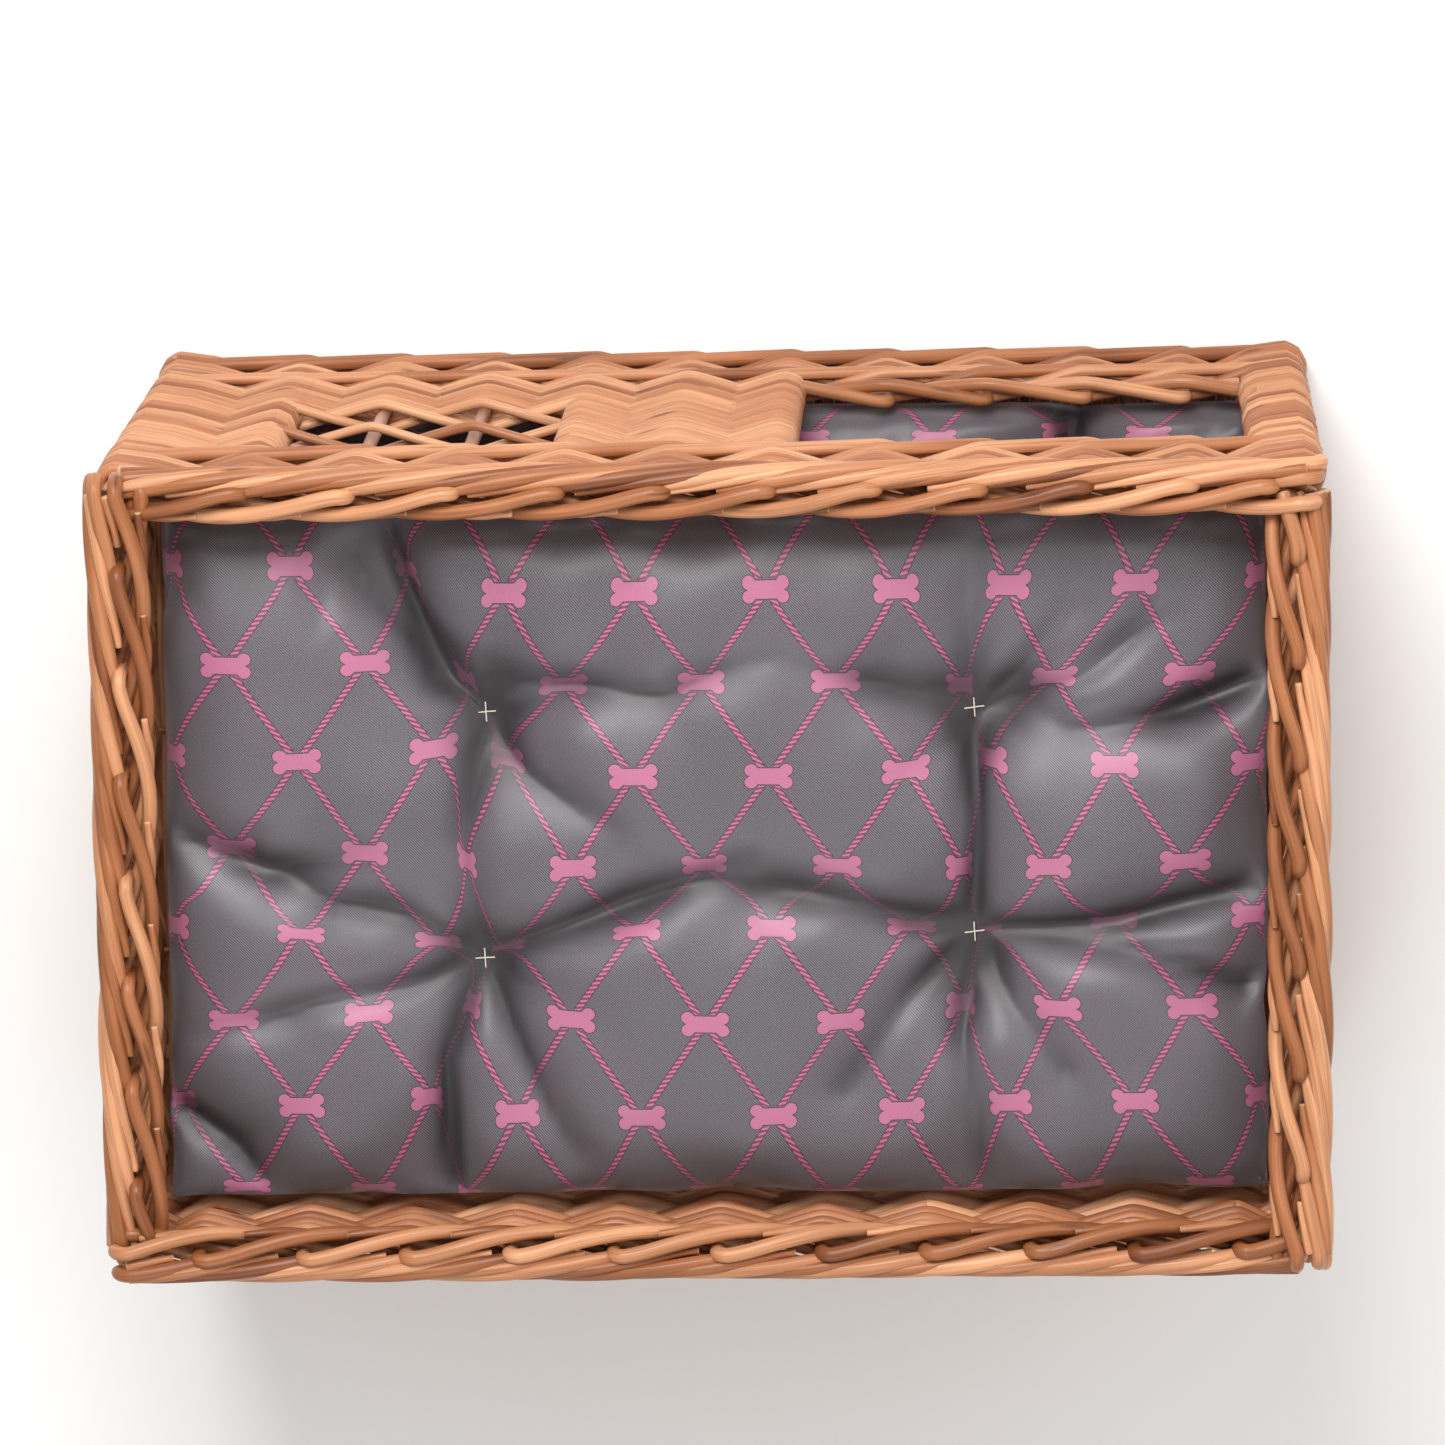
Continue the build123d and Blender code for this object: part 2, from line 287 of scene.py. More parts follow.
def new_piece(name, points, quads, material=None, **attributes):
    """A smooth-shaded object made of quads, with its material and its points' attributes."""
    mesh = bpy.data.meshes.new(name)
    mesh.vertices.add(len(points))
    mesh.vertices.foreach_set("co", np.ravel(points))
    mesh.loops.add(len(quads) * 4)
    mesh.loops.foreach_set("vertex_index", np.ravel(quads))
    mesh.polygons.add(len(quads))
    mesh.polygons.foreach_set("loop_start", np.arange(len(quads)) * 4)
    mesh.update(calc_edges=True)
    mesh.polygons.foreach_set("use_smooth", np.ones(len(quads), bool))
    for key, values in attributes.items():
        kind, field = ("FLOAT", "value") if np.ndim(values) == 1 else ("FLOAT_VECTOR", "vector")
        mesh.attributes.new(key, kind, "POINT").data.foreach_set(field, np.ravel(values))
    if material:
        mesh.materials.append(material)
    mesh.validate()
    return new_object(name, mesh)


def assign(piece, body, node):
    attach(piece, body)
    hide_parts(node)


# --- Rods ---

class RodWork:
    """Round rods gathered into one mesh. Each rod keeps its own straight coordinates, a tint
    and a mark on its cut ends, which the willow material reads."""

    def __init__(self):
        self.points, self.faces, self.grain, self.tint, self.cut = [], [], [], [], []
        self.count = 0

    def add(self, path, radius, sides=8, tint=None, start=0.0, face_to=(0, 0, 1)):
        """Adds one rod along path. start is how far along the whole rod this stretch begins."""
        path = np.asarray(path, float)
        radius = np.broadcast_to(radius, (len(path),))
        step = np.linalg.norm(np.diff(path, axis=0), axis=1)
        keep = np.concatenate([[True], step > 1e-6])
        path, radius = path[keep], radius[keep]
        if len(path) < 2:
            return
        tangent = np.gradient(path, axis=0)
        tangent /= np.linalg.norm(tangent, axis=1)[:, None]
        lip = radius[[0, -1]] * 0.3
        path = np.vstack([path[0] - tangent[0] * lip[0], path, path[-1] + tangent[-1] * lip[1]])
        tangent = np.vstack([tangent[0], tangent, tangent[-1]])
        radius = np.concatenate([[radius[0] * 0.78], radius, [radius[-1] * 0.78]])[:, None]
        along = path_lengths(path)[:, None] + start
        side = np.cross(tangent, face_to)
        side /= np.maximum(np.linalg.norm(side, axis=1), 1e-9)[:, None]
        up = np.cross(side, tangent)
        turn = np.arange(sides) * 2 * math.pi / sides
        ring = np.cos(turn)[:, None] * side[:, None] + np.sin(turn)[:, None] * up[:, None]
        self.points.append((path[:, None] + ring * radius[:, None]).reshape(-1, 3))
        tint = rng.rand() if tint is None else tint
        grain = (along, radius * np.cos(turn) + tint * 7.0, radius * np.sin(turn))
        self.grain.append(np.stack(np.broadcast_arrays(*grain), -1).reshape(-1, 3))
        self.tint.append(np.full(len(path) * sides, tint))
        cut = np.zeros((len(path), sides))
        cut[[0, -1]] = 1
        self.cut.append(cut.ravel())
        self.faces.append(self.count + self.tube_faces(len(path), sides))
        self.count += len(path) * sides

    @staticmethod
    def tube_faces(rings, sides):
        i, j = np.meshgrid(np.arange(rings - 1) * sides, np.arange(sides), indexing="ij")
        k = (j + 1) % sides
        walls = np.stack([i + j, i + k, i + sides + k, i + sides + j], -1)
        fan = np.array([(0, m, m + 1, m + 2) for m in range(1, sides - 1, 2)])
        return np.vstack([walls.reshape(-1, 4), fan[:, ::-1], (rings - 1) * sides + fan])

    def build(self, name, material):
        return new_piece(name, np.vstack(self.points), np.vstack(self.faces), material,
                         grain=np.vstack(self.grain), tint=np.concatenate(self.tint),
                         cut=np.concatenate(self.cut))


work = collections.defaultdict(RodWork)     # the rods that stand for each CAD node


def add_split(path, radius, owner, tint):
    """Adds a rod that crosses several nodes: each node gets the stretch that lies in it."""
    names = [owner(p) for p in path]
    along = path_lengths(path)
    begin = 0
    for i in range(1, len(path) + 1):
        if i == len(path) or names[i] != names[begin]:
            stretch = slice(begin, i + 1)
            work[names[begin]].add(path[stretch], radius[stretch], tint=tint, start=along[begin])
            begin = i


def natural_radius(path, radius, spread=0.05):
    """A rod's radius along its length, with a slow swell."""
    along = np.linspace(0, 1, len(path))
    swell = np.sin(along * (5 + 9 * rng.rand()) + 6.28 * rng.rand())
    return radius * (1 + spread * rng.randn() * 0.6 + spread * 0.5 * swell)


# --- Uprights, in order round the basket ---

Upright = collections.namedtuple("Upright", "x y nx ny r step")
LINE_X = sum(v.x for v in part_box("right_stakes")) / 2
LINE_Y = sum(v.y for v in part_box("back_stakes")) / 2
STAKE_R = (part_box("back_stakes")[1].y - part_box("back_stakes")[0].y) / 2
POST_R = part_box("corner_posts")[1].x - LINE_X
WALL_IN_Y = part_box("left_cabin_weave")[1].y
WINDOW_LOW_X, WINDOW_HIGH_X = (v.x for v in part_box("window_sill_panel"))
ENTRANCE_LOW_X, ENTRANCE_HIGH_X = (v.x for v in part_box("threshold_border"))
OPENING_MARGIN = 0.02
SAME_STEP = 0.020
FRONT_X = sorted((c[0] for node in ("front_stakes", "window_stakes", "sill_stakes")
                  for c in rod_centres(node, 0)), reverse=True)
STAKE_PITCH = FRONT_X[1] - FRONT_X[2]


def ring_of_uprights():
    """Every upright, from the front right corner across the front and on round. A stake that
    stands close to a corner post shares its step, so a weaver passes both on the same side."""
    left, right = ([c[1] for c in rod_centres(n, 1)] for n in ("left_stakes", "right_stakes"))
    back = [c[0] for c in rod_centres("back_stakes", 0)]
    walls = (((LINE_X, -LINE_Y), (0, -1), [(x, -LINE_Y) for x in FRONT_X]),
             ((-LINE_X, -LINE_Y), (-1, 0), [(-LINE_X, y) for y in left]),
             ((-LINE_X, LINE_Y), (0, 1), [(x, LINE_Y) for x in back]),
             ((LINE_X, LINE_Y), (1, 0), [(LINE_X, y) for y in right[::-1]]))
    ring, step = [], 0
    for corner, facing, places in walls:
        diagonal = [math.copysign(math.sqrt(0.5), value) for value in corner]
        for x, y in [corner] + places:
            if ring and math.hypot(x - ring[-1].x, y - ring[-1].y) > SAME_STEP:
                step += 1
            kind = (*diagonal, POST_R) if (x, y) == corner else (*facing, STAKE_R)
            ring.append(Upright(x, y, *kind, step))
    return ring


RING = ring_of_uprights()
RING_STEPS = RING[-1].step + 1


# --- Weaving ---

EASE = 0.985
CLUSTER = 0.09
POST_ARC = math.radians(32)
Station = collections.namedtuple("Station", "place centre height lift side")


def ease(t):
    """Crosses the wall in a nearly straight diagonal, rounded where it meets an upright."""
    return 0.5 - np.arcsin(EASE * np.cos(math.pi * t)) / (2 * math.asin(EASE))


def side_at(upright, row):
    return 1 if (upright.step + row) % 2 == 0 else -1


def passing(upright, side, radius, height, lift=0.0):
    """A rod's stations where it passes an upright: side 1 is outside and -1 inside. It rounds
    the outside of a corner post in an arc. lift is the extra height half way to the next."""
    reach = upright.r + radius
    corner = abs(upright.nx) > 0.1 and abs(upright.ny) > 0.1
    x, y = upright.x, upright.y
    if corner and side > 0:
        first = math.atan2(upright.ny, upright.nx) + POST_ARC
        turns = [first - POST_ARC * i for i in range(3)]
        places = [(x + reach * math.cos(a), y + reach * math.sin(a)) for a in turns]
    else:
        reach *= side * (0.8 if corner else 1)
        places = [(x + reach * upright.nx, y + reach * upright.ny)]
    lifts = [0.0] * (len(places) - 1) + [lift]
    return [Station(place, (x, y), height, up, side) for place, up in zip(places, lifts)]


def thread(stations):
    """A path through stations."""
    path = []
    for here, there in zip(stations, stations[1:]):
        p, q = np.array(here.place), np.array(there.place)
        run = np.array(there.centre) - np.array(here.centre)
        count = max(2, int(np.linalg.norm(q - p) / SAMPLE_STEP))
        t = np.linspace(0, 1, count, endpoint=False)[:, None]
        t = t - np.sin(2 * math.pi * t) * CLUSTER
        if np.linalg.norm(run) > SAME_STEP:
            run /= np.linalg.norm(run)
            along = run * ((q - p) @ run)
            plan = p + along * t + (q - p - along) * ease(t)
        else:
            plan = p + (q - p) * t
        rise = (there.height - here.height) * t + here.lift * np.sin(math.pi * t)
        path.append(np.hstack([plan, here.height + rise]))
    path.append(np.array([[*stations[-1].place, stations[-1].height]]))
    return np.vstack(path)


def settle(path, amount=0.0004):
    """Handmade unevenness: a slow shared waver in height that keeps the rows apart."""
    x, y, z = path.T
    waver = np.sin(x * 23 + z * 9 + 1.3) + np.sin(y * 31 - z * 14 + 0.4)
    waver += np.sin((x + y) * 61 + z * 25)
    return np.column_stack([x, y, z + waver * amount])


def lay_rods(stations, owner):
    """Turns stations into rods of natural length. A rod ends, and the next begins, inside."""
    begin, run = 0, 0.0
    limit = WEAVER_LENGTH * (0.5 + rng.rand())
    for i in range(1, len(stations)):
        here, before = stations[i], stations[i - 1]
        run += math.dist(here.place, before.place)
        if i == len(stations) - 1 or (run > limit and here.side < 0 < before.side):
            path = settle(thread(stations[begin:i + 1]))
            add_split(path, natural_radius(path, WEAVER_R), owner, rng.rand())
            begin, run = i, 0.0
            limit = WEAVER_LENGTH * (0.6 + 0.8 * rng.rand())


def spiral(node, owner):
    """Plain weave that climbs round and round the whole basket over a node's height."""
    low, high = height_range(node)
    rounds = max(1, round((high - low - 2 * WEAVER_R) / WEAVER_PITCH))
    pitch = (high - low - 2 * WEAVER_R) / rounds
    stations = []
    for turn in range(rounds):
        for upright in RING:
            height = low + WEAVER_R + pitch * (turn + upright.step / RING_STEPS)
            stations += passing(upright, side_at(upright, turn * RING_STEPS), WEAVER_R, height)
    lay_rods(stations, owner)


def turn_back(upright, heading, side, height):
    """A rod's way round the last upright of a panel, from one face to the other."""
    stations = []
    reach = upright.r + WEAVER_R
    for angle in (45, 90, 135):
        out, on = side * math.cos(math.radians(angle)), math.sin(math.radians(angle))
        place = (upright.x + reach * (out * upright.nx + on * heading[0]),
                 upright.y + reach * (out * upright.ny + on * heading[1]))
        climbed = height + WEAVER_PITCH * angle / 180
        stations.append(Station(place, (upright.x, upright.y), climbed, 0.0, 0))
    return stations


def to_and_fro(uprights, low, first_row, rows):
    """Plain weave between two openings: each row turns back round the last upright."""
    stations = []
    for row in range(first_row, first_row + rows):
        way = 1 if row % 2 == 0 else -1
        height = low + WEAVER_R + WEAVER_PITCH * row
        for upright in uprights[::way]:
            stations += passing(upright, side_at(upright, row), WEAVER_R, height)[::way]
        if row < first_row + rows - 1:
            before, end = uprights[::way][-2:]
            heading = np.array([end.x - before.x, end.y - before.y])
            heading /= np.linalg.norm(heading)
            stations += turn_back(end, heading, side_at(end, row), height)
    lay_rods(stations, cabin_owner)


def wale(node, radius):
    """One round of three-rod wale: each rod runs outside two uprights and inside the third."""
    low, high = height_range(node)
    middle, scale = (low + high) / 2, (high - low - 2 * radius) / WALE_DEPTH
    closed = RING + [RING[0]._replace(step=RING_STEPS)]
    for start in range(3):
        stations = []
        for upright, following in zip(closed, closed[1:] + [RING[1]]):
            side, height, lift = WALE_STEPS[(upright.step + start) % 3]
            lift = 0.0 if following.step == upright.step else lift * scale
            stations += passing(upright, side, radius, middle + height * scale, lift)
        path = settle(thread(stations))
        for part in np.array_split(np.arange(len(path)), 2):
            stretch = path[part[0]:part[-1] + 2]
            work[node].add(stretch, natural_radius(stretch, radius))


def wall_owner(names):
    """Which wall's node a point belongs to, given the front, back, left and right names."""
    def owner(point):
        if abs(point[1]) > WALL_IN_Y:
            return names[0] if point[1] < 0 else names[1]
        return names[2] if point[0] < 0 else names[3]
    return owner


def cabin_owner(point):
    """The cabin's node at a point of its walls."""
    if point[1] < -WALL_IN_Y:
        for edge, node in ((WINDOW_HIGH_X, "front_corner_panel"),
                           (WINDOW_LOW_X, "window_sill_panel"),
                           (ENTRANCE_HIGH_X - OPENING_MARGIN, "front_middle_panel")):
            if point[0] > edge:
                return node
        return "entrance_post_weave"
    return wall_owner((None, "back_cabin_weave", "left_cabin_weave", "right_cabin_weave"))(point)


def weave_walls():
    """All plain weave: the foot, the cabin round its openings, and the tray."""
    spiral("foot_weave", lambda point: "foot_weave")
    low, high = height_range("back_cabin_weave")
    sill_rows = int((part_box("window_sill_panel")[1].z - low) / WEAVER_PITCH)
    over_sill = round((high - low - 2 * WEAVER_R) / WEAVER_PITCH) + 1 - sill_rows
    post = next(i for i, u in enumerate(RING) if u.y < -WALL_IN_Y and u.x < ENTRANCE_LOW_X)
    closing = [u._replace(step=u.step + RING_STEPS) for u in RING if u.y < -WALL_IN_Y]
    to_window = [u for u in closing if u.x > WINDOW_HIGH_X]
    to_entrance = [u for u in closing if u.x > ENTRANCE_HIGH_X]
    to_and_fro(RING[post:] + to_entrance, low, 0, sill_rows)
    to_and_fro(RING[post:] + to_window, low, sill_rows, over_sill)
    to_and_fro([u for u in to_entrance if u.x < WINDOW_LOW_X], low, sill_rows, over_sill)
    tray = [f"tray_{wall}_weave" for wall in ("front", "back", "left", "right")]
    spiral("tray_back_weave", wall_owner(tray))


# --- Stakes, borders, lattice, base and shelf ---

def stand_stakes():
    """Uprights, each with a slight natural bow."""
    posts = [(sx * LINE_X, sy * LINE_Y) for sx in (-1, 1) for sy in (-1, 1)]
    rows = [("corner_posts", POST_R, posts)]
    for wall in ("front", "window", "sill", "lintel", "back", "left", "right"):
        node = wall + "_stakes"
        rows.append((node, STAKE_R, rod_centres(node, 1 if wall in ("left", "right") else 0)))
    for node, radius, places in rows:
        for x, y in places:
            bow = 0.0003 * np.sin(np.linspace(0, 5, 24) + 6 * rng.rand())
            path = np.stack([x + bow, y + 0.5 * bow, np.linspace(*height_range(node), 24)], 1)
            width = natural_radius(path, radius * STAKE_SHARE, 0.03)
            work[node].add(path, width, sides=12, face_to=(1, 0, 0))


def border(node, travel, lean, places, ends, across):
    """A border of bent-over stakes. Each rises on the wall's line and bends over in a tight
    elbow. It leans towards lean as it runs along travel, goes down that side, under the border
    and up the other, and its thin tip is tucked under the elbow of a later stake. Thinner rods
    lie between the stakes. ends are where the run starts and stops."""
    low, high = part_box(node)
    travel, lean = np.array(travel, float), np.array(lean, float)
    line = np.array((low + high) / 2)
    line[2] = 0
    line -= travel * (line @ travel)
    line += lean * (across - BORDER_ACROSS)
    centre_z = high.z - BORDER_R - BORDER_UP
    over, under, reach = BORDER_STACK
    between = [(place + BETWEEN_PLACE * STAKE_PITCH, True) for place in places]
    for place, thin in [(place, False) for place in places] + between:
        rises = ends[0] < place < ends[1] - 0.02 and not thin
        first = BETWEEN_FROM if thin else BORDER_FROM
        age = np.linspace(first, BORDER_RUN[-1] + 0.16 * (rng.rand() - 0.5), 92)
        to_end = BORDER_RUN[-1] - age
        along = place + age * STAKE_PITCH
        turn = np.radians(np.interp(age, BORDER_RUN, BORDER_TURN) + 3 * rng.randn())
        turn = smoothed(turn, 4)
        stack = over + under * smooth_step(1 - to_end / reach)
        side = across * np.sin(turn) * (1 + 0.04 * np.sin(age * 2.1 + 6.28 * rng.rand()))
        path = line + along[:, None] * travel + side[:, None] * lean
        path[:, 2] = centre_z + (BORDER_UP + stack) * np.cos(turn)
        width = BORDER_R * (1 - BORDER_TIP[0] * smooth_step(1 - to_end / BORDER_TIP[1]))
        if thin:
            start = smooth_step(1 - (age - first) / BETWEEN_TAPER)
            width *= BETWEEN_SIZE * (1 - BETWEEN_TAPER * start)
        if rises:
            bend = np.radians(np.linspace(0, 84, 7))
            begin = path[0][2] - BORDER_ELBOW
            on = place + BORDER_ELBOW * (1 - np.cos(bend))
            arc = line + on[:, None] * travel + side[0] * lean
            arc[:, 2] = begin + BORDER_ELBOW * np.sin(bend)
            upright = line + place * travel + np.outer((0, side[0]), lean)
            upright[:, 2] = (low.z - BENT_FROM, begin - 0.002)
            path = np.vstack([upright, arc, path])
            width = np.concatenate([np.full(9, BORDER_R), width])
            along = np.concatenate([[place, place], on, along])
        inside = (along >= ends[0]) & (along <= ends[1])
        if inside.sum() < 6:
            continue
        path, along, width = path[inside], along[inside], width[inside]
        path[:, 2] += CORNER_LIFT * smooth_step(1 - (along - ends[0]) / CORNER_REACH)
        path[:, 2] -= CORNER_LIFT * smooth_step(1 - (ends[1] - along) / CORNER_REACH)
        if not rises and not thin:
            bent = start_bend(path, travel)
            path = np.vstack([bent, path])
            width = np.concatenate([np.full(len(bent), width[0]), width])
        width = natural_radius(path, 1.0) * width
        work[node].add(path, width, sides=12, face_to=lean if rises else (0, 0, 1))


def start_bend(path, travel):
    """The rounded bend with which a rod comes up over the corner at the start of a run."""
    bend = np.radians(np.linspace(85, 12, 6))
    points = path[0] - travel * CORNER_BEND * np.sin(bend)[:, None]
    points[:, 2] = path[0][2] - CORNER_BEND * (1 - np.cos(bend))
    return points


def weave_rim():
    """The four runs of the rim, all leaning inwards. Each starts over the one before it and
    ends under the next."""
    left, right = ([c[1] for c in rod_centres(n, 1)] for n in ("left_stakes", "right_stakes"))
    front = [x for x in FRONT_X if abs(x) < LINE_X - 0.008][::-1]
    back = [-c[0] for c in rod_centres("back_stakes", 0)][::-1]
    for node, travel, lean, places in (
            ("rim_left", (0, -1, 0), (1, 0, 0), [-y for y in left][::-1]),
            ("rim_front", (1, 0, 0), (0, 1, 0), front),
            ("rim_right", (0, 1, 0), (-1, 0, 0), right),
            ("rim_back", (-1, 0, 0), (0, -1, 0), back)):
        lead_in = [places[0] - STAKE_PITCH * (i + 1) for i in range(BORDER_LEAD_IN)]
        half, across = (cad_high.x, BORDER_ACROSS) if travel[0] else (cad_high.y, SIDE_ACROSS)
        ends = (-half + BORDER_R + CORNER_BEND, half - CORNER_UNDER)
        border(node, travel, lean, lead_in + places, ends, across)


def weave_threshold():
    """The threshold's border. Each short stake folds over sharply on the inside, crosses to the
    outside of the next one and goes back down to the inside of the one after."""
    low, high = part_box("threshold_border")
    line, top = (low.y + high.y) / 2, high.z - THRESHOLD_R
    stakes = [x for x in FRONT_X if low.x < x < high.x]
    lead_in = [min(stakes) - STAKE_PITCH * i for i in (1, 2)]
    age = np.linspace(0.03, THRESHOLD_RUN[-1], 44)
    side, drop = (smoothed(np.interp(age, THRESHOLD_RUN, keys), 2)
                  for keys in (THRESHOLD_SIDE, THRESHOLD_DROP))
    back, share, down = THRESHOLD_FOOT
    for x in lead_in + stakes:
        sway = line + side * (1 + 0.1 * rng.randn())
        path = np.stack([x + age * STAKE_PITCH, sway, top - drop], 1)
        path = path[(path[:, 0] > low.x - 0.002) & (path[:, 0] < high.x + 0.004)]
        if x > low.x:
            bend = np.radians(np.linspace(80, 0, 6))
            fold = path[0] - np.stack([THRESHOLD_BEND[0] * np.sin(bend), 0 * bend,
                                       THRESHOLD_BEND[1] * (1 - np.cos(bend))], 1)
            foot = [[x, line, low.z - BENT_FROM], [x - back, line + side[0] * share, top - down]]
            path = np.vstack([foot, fold, path])
        if len(path) > 4:
            width = natural_radius(path, THRESHOLD_R, 0.04)
            work["threshold_border"].add(path, width, sides=12, face_to=(0, 1, 0))


def weave_lattice():
    """Pairs of rods that cross between the window's stakes, one each side of every stake."""
    low, high = height_range("window_lattice")
    span = [u for u in RING if u.y < -WALL_IN_Y
            and WINDOW_LOW_X - OPENING_MARGIN < u.x < WINDOW_HIGH_X + OPENING_MARGIN]
    for height in (low + LATTICE_R, high - LATTICE_R):
        for first in (0, 1):
            stations = []
            for i, upright in enumerate(span):
                side = 1 if (i + first) % 2 == 0 else -1
                lift = LATTICE_R * 1.5 * side
                stations += passing(upright, side, LATTICE_R + LATTICE_GAP, height, lift)
            path = thread(stations)
            work["window_lattice"].add(path, natural_radius(path, LATTICE_R, 0.04), sides=10)


def weave_mat(mat, sticks, stick_r, weaver_r, pitch, count, inset):
    """A flat mat: level sticks along X, with weavers across them that pass over and under."""
    low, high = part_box(mat)
    middle = (low.z + high.z) / 2
    rows = np.linspace(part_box(sticks)[0].y + inset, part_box(sticks)[1].y - inset, count)
    for y in rows:
        x = np.linspace(-high.x, high.x, 30)
        path = np.stack([x, y + 0.0003 * np.sin(x * 19 + y * 40), np.full_like(x, middle)], 1)
        work[sticks].add(path, natural_radius(path, stick_r, 0.03))
    ways = [MAT_INSET - high.y, *rows, high.y - MAT_INSET]
    t = np.linspace(0, 1, 7, endpoint=False)
    for i in range(int(2 * high.x / pitch)):
        signs = [0] + [1 if (i + j) % 2 == 0 else -1 for j in range(1, count + 1)] + [0]
        y = np.concatenate([a + (b - a) * t for a, b in zip(ways, ways[1:])])
        z = np.concatenate([a + (b - a) * ease(t) for a, b in zip(signs, signs[1:])])
        x = np.full_like(y, -high.x + pitch * (i + 0.5))
        path = np.stack([x, y, middle + z * (stick_r + weaver_r)], 1)
        work[mat].add(path, weaver_r, sides=6, face_to=(1, 0, 0))


def lay_shelf_sticks():
    low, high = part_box("shelf_sticks")
    radius = (high.z - low.z) / 2
    for y in np.linspace(low.y + radius, high.y - radius, 3):
        x = np.linspace(low.x, high.x, 30)
        path = np.stack([x, np.full_like(x, y), np.full_like(x, low.z + radius)], 1)
        work["shelf_sticks"].add(path, natural_radius(path, radius * STICK_SHARE, 0.02), sides=12)


# --- Cushions ---

def in_metres(value):
    """A nest of millimetre values, in metres."""
    return tuple(map(in_metres, value)) if isinstance(value, tuple) else value / 1000


Shape = collections.namedtuple(
    "Shape", "folds tucks drift print_move grow top_round edge_arc crown_drop seed")
SHAPES = {
    "upper_cushion": Shape(
        in_metres(UPPER_FOLDS), in_metres(UPPER_TUCKS),
        in_metres(((-8, -10), (-8, -10), (-5, -6), (-7, -18))),
        (0.0, 0.005), (0.002, 0.002, 0.0), 0.038, 0.054, 0.44, 3),
    "lower_cushion": Shape(
        in_metres(LOWER_FOLDS), in_metres(LOWER_TUCKS), ((0, 0),) * 4,
        (-0.020, -0.0265), (0.001, 0.0025, 0.006), 0.010, 0.038, 0.03, 8),
}


def pillow_sheets(half_x, half_y, step):
    """Two rectangular sheets sewn along their edge, as flat pattern coordinates, the sheet
    each point is on (1 top, -1 bottom, 0 seam) and quads."""
    counts = [int(round(2 * half / step)) + 1 for half in (half_x, half_y)]
    sides = [np.linspace(-half, half, n) for half, n in zip((half_x, half_y), counts)]
    flat = np.stack(np.meshgrid(*sides, indexing="ij"), -1).reshape(-1, 2)
    index = np.arange(len(flat)).reshape(counts)
    inner = np.zeros_like(index, bool)
    inner[1:-1, 1:-1] = True
    under = index.copy()
    under[inner] = len(flat) + np.arange(inner.sum())
    points = np.vstack([flat, flat[inner.ravel()]])
    sheet = np.concatenate([inner.ravel().astype(int), np.full(inner.sum(), -1)])
    over, below = (np.stack([g[:-1, :-1], g[1:, :-1], g[1:, 1:], g[:-1, 1:]], -1).reshape(-1, 4)
                   for g in (index, under))
    return points, sheet, np.vstack([over, below[:, ::-1]])


def distance_to_line(points, line):
    """Distance in plan from points to a bent line, how far along it the nearest place is, and
    the way to that place."""
    best = np.full(len(points), 1e9)
    where = np.zeros(len(points))
    way = np.zeros((len(points), 2))
    line = np.array(line, float)
    reached = path_lengths(line)
    for a, b, done, length in zip(line, line[1:], reached, np.diff(reached)):
        t = np.clip(((points - a) @ (b - a)) / length ** 2, 0, 1)
        offset = a + t[:, None] * (b - a) - points
        d = np.linalg.norm(offset, axis=1)
        closer = d < best
        way[closer], best[closer] = offset[closer], d[closer]
        where[closer] = ((done + t * length) / reached[-1])[closer]
    return best, where, way


def gather(plan, half, folds):
    """Draws the top sheet in towards its folds, which take up some of the cloth."""
    share, start, reach = GATHER
    moved = plan.copy()
    free = np.clip((half - np.abs(plan)).min(1) / reach, 0, 1)
    for depth, _, *line in folds:
        d, t, way = distance_to_line(plan, line)
        pull = share * depth * (1 - np.exp(-d / start)) * np.exp(-d / reach) * (1 - 0.5 * t) * free
        moved += way / np.maximum(d, 1e-6)[:, None] * pull[:, None]
    return moved


def pillow_goal(plan, sheet, half, thickness, shape, tufts):
    """The height of the rounded, tufted and folded form the filling holds the cover to."""
    seam = thickness * SEAM_HEIGHT
    rise = []
    for reach in (shape.top_round, BOTTOM_ROUND):
        t = np.clip((half - np.abs(plan)) / reach, 0, 1)
        rise.append(np.sqrt(np.clip(1 - (1 - t) ** 2, 0, 1)).prod(1))
    crown = thickness * (1 - shape.crown_drop * (np.abs(plan / half) ** 2.5).sum(1) / 2)
    top = seam + (crown - seam) * rise[0]
    bottom = seam * (1 - rise[1])
    drop = np.zeros(len(plan))
    for i, tuft in enumerate(tufts):
        dx, dy = (plan - tuft).T
        r, angle = np.hypot(dx, dy), np.arctan2(dy, dx)
        pleats = np.cos(5 * angle + 1.7 * i) + 0.7 * np.cos(8 * angle + 2.9 * i + 1)
        drop -= PLEAT * pleats * (r / 0.03) * np.exp(-(r / PLEAT_REACH) ** 2 + 0.5)
        drop += TUFT_DEPTH * np.exp(-(r / TUFT_REACH) ** 0.9)
        bottom += TUFT_DEPTH * 0.22 * np.exp(-(r / (TUFT_REACH * 0.6)) ** 1.2)
    for depth, width, *line in shape.folds:
        d, t, _ = distance_to_line(plan, line)
        valley = VALLEY[0] * np.exp(-(d / (VALLEY[1] * width)) ** 1.6)
        drop += FOLD_SCALE * depth * (np.exp(-(d / width) ** 1.3) + valley) * (1 - 0.65 * t)
    most = MOST_DROP * thickness
    top -= most * np.tanh(drop / most) * rise[0]
    top = np.maximum(top, seam * 0.6)
    return np.where(sheet > 0, top, np.where(sheet < 0, bottom, seam))


